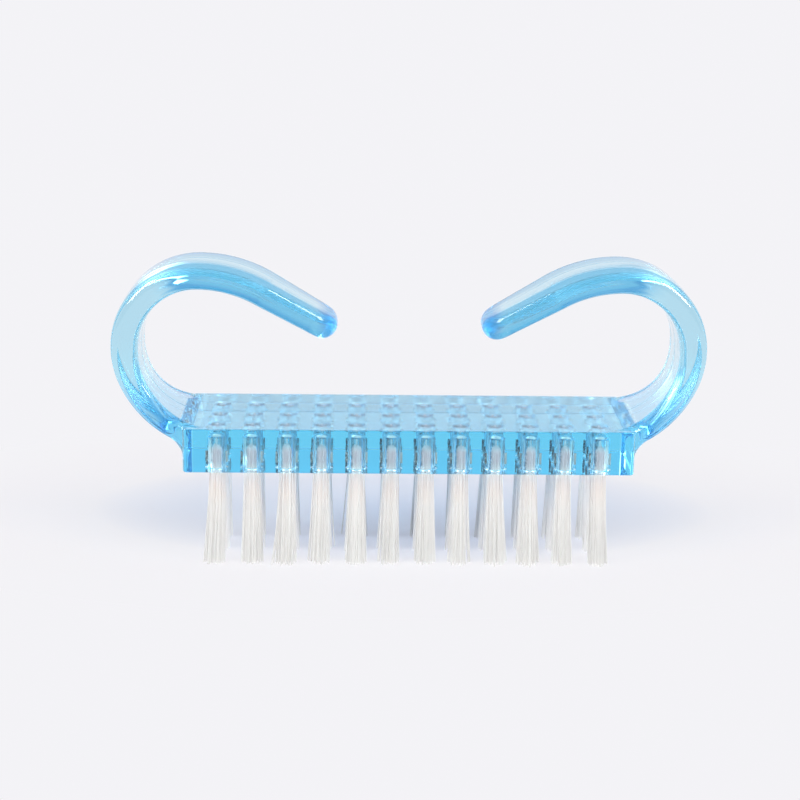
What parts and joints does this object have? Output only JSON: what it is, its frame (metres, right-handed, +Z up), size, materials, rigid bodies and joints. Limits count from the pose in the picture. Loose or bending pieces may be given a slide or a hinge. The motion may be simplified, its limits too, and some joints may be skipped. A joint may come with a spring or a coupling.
{
  "type": "nail brush",
  "caption": "Clear blue moulded nail brush: a bristle block with rows of white nylon tufts and a curled finger handle at each end.",
  "frame": {"origin": "centre of the rectangle that the brush covers, on the surface that the bristle tips stand on", "axes": "+X along the brush to the right, +Y from the front to the back, +Z up, from the bristle tips to the handles"},
  "size_m": [0.0646, 0.014, 0.0336],
  "materials": {
    "body": "glossy transparent sky-blue moulding",
    "bristles": "clear white nylon filament",
    "anchors": "drawn flat wire"
  },
  "bodies": {
    "root": {"brush_body": "body", "tuft_front_01": "bristles", "tuft_front_02": "bristles", "tuft_front_03": "bristles", "tuft_front_04": "bristles", "tuft_front_05": "bristles", "tuft_front_06": "bristles", "tuft_front_07": "bristles", "tuft_front_08": "bristles", "tuft_front_09": "bristles", "tuft_front_10": "bristles", "tuft_front_11": "bristles", "tuft_front_12": "bristles", "tuft_middle_01": "bristles", "tuft_middle_02": "bristles", "tuft_middle_03": "bristles", "tuft_middle_04": "bristles", "tuft_middle_05": "bristles", "tuft_middle_06": "bristles", "tuft_middle_07": "bristles", "tuft_middle_08": "bristles", "tuft_middle_09": "bristles", "tuft_middle_10": "bristles", "tuft_middle_11": "bristles", "tuft_middle_12": "bristles", "tuft_back_01": "bristles", "tuft_back_02": "bristles", "tuft_back_03": "bristles", "tuft_back_04": "bristles", "tuft_back_05": "bristles", "tuft_back_06": "bristles", "tuft_back_07": "bristles", "tuft_back_08": "bristles", "tuft_back_09": "bristles", "tuft_back_10": "bristles", "tuft_back_11": "bristles", "tuft_back_12": "bristles", "anchors_front": "anchors", "anchors_middle": "anchors", "anchors_back": "anchors"}
  },
  "joints": []
}
